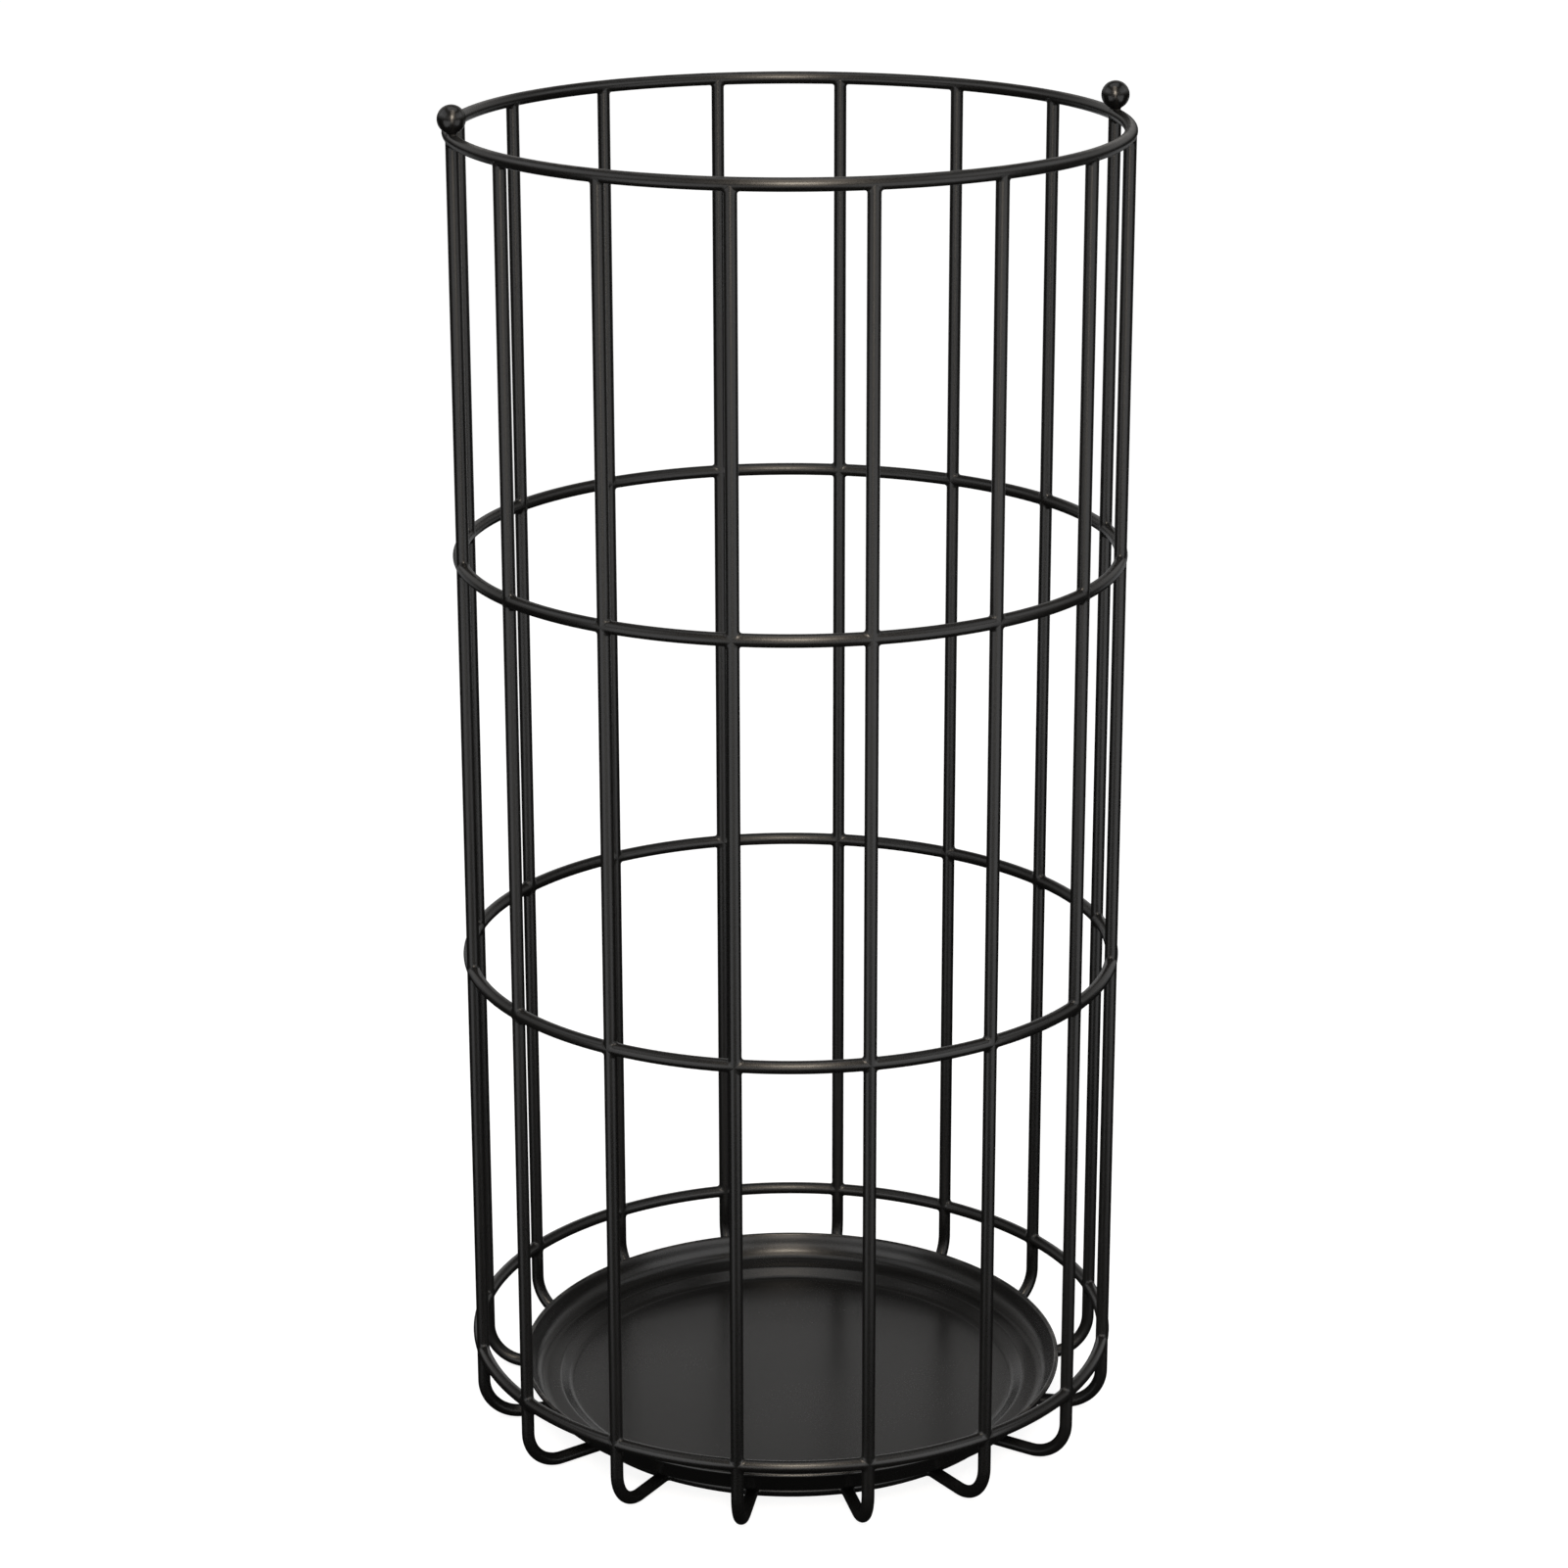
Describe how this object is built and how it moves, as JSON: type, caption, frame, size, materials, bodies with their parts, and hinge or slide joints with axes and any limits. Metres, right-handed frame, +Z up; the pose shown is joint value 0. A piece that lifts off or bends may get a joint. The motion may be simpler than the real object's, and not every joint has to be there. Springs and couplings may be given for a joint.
{
  "type": "umbrella stand",
  "caption": "Round open wire umbrella stand: upright wires with bent-in feet, hoops, ball finials and a loose stepped drip tray, all in satin black.",
  "frame": {"origin": "on the cage axis at floor level, under the middle of the stand", "axes": "+Z up along the cage axis, +X towards the right-hand finial, +Y away from the pictured front"},
  "size_m": [0.2556, 0.25, 0.5135],
  "materials": {
    "upright_wire": "satin black powder coat",
    "ring_wire": "satin black powder coat",
    "finial_ball": "satin black powder coat",
    "tray_sheet": "satin black powder coat"
  },
  "bodies": {
    "cage": {"upright_01": "upright_wire", "upright_02": "upright_wire", "upright_03": "upright_wire", "upright_04": "upright_wire", "upright_05": "upright_wire", "upright_06": "upright_wire", "upright_07": "upright_wire", "upright_08": "upright_wire", "upright_09": "upright_wire", "upright_10": "upright_wire", "upright_11": "upright_wire", "upright_12": "upright_wire", "upright_13": "upright_wire", "upright_14": "upright_wire", "upright_15": "upright_wire", "upright_16": "upright_wire", "lower_ring": "ring_wire", "lower_middle_ring": "ring_wire", "upper_middle_ring": "ring_wire", "top_ring": "ring_wire", "base_ring": "ring_wire", "finial_right": "finial_ball", "finial_left": "finial_ball"},
    "tray": {"drip_tray": "tray_sheet"}
  },
  "joints": [
    {"name": "tray_lift", "type": "slide", "parent": "cage", "child": "tray", "axis": [0, 0, 1], "range_m": [0, 0.52]}
  ]
}
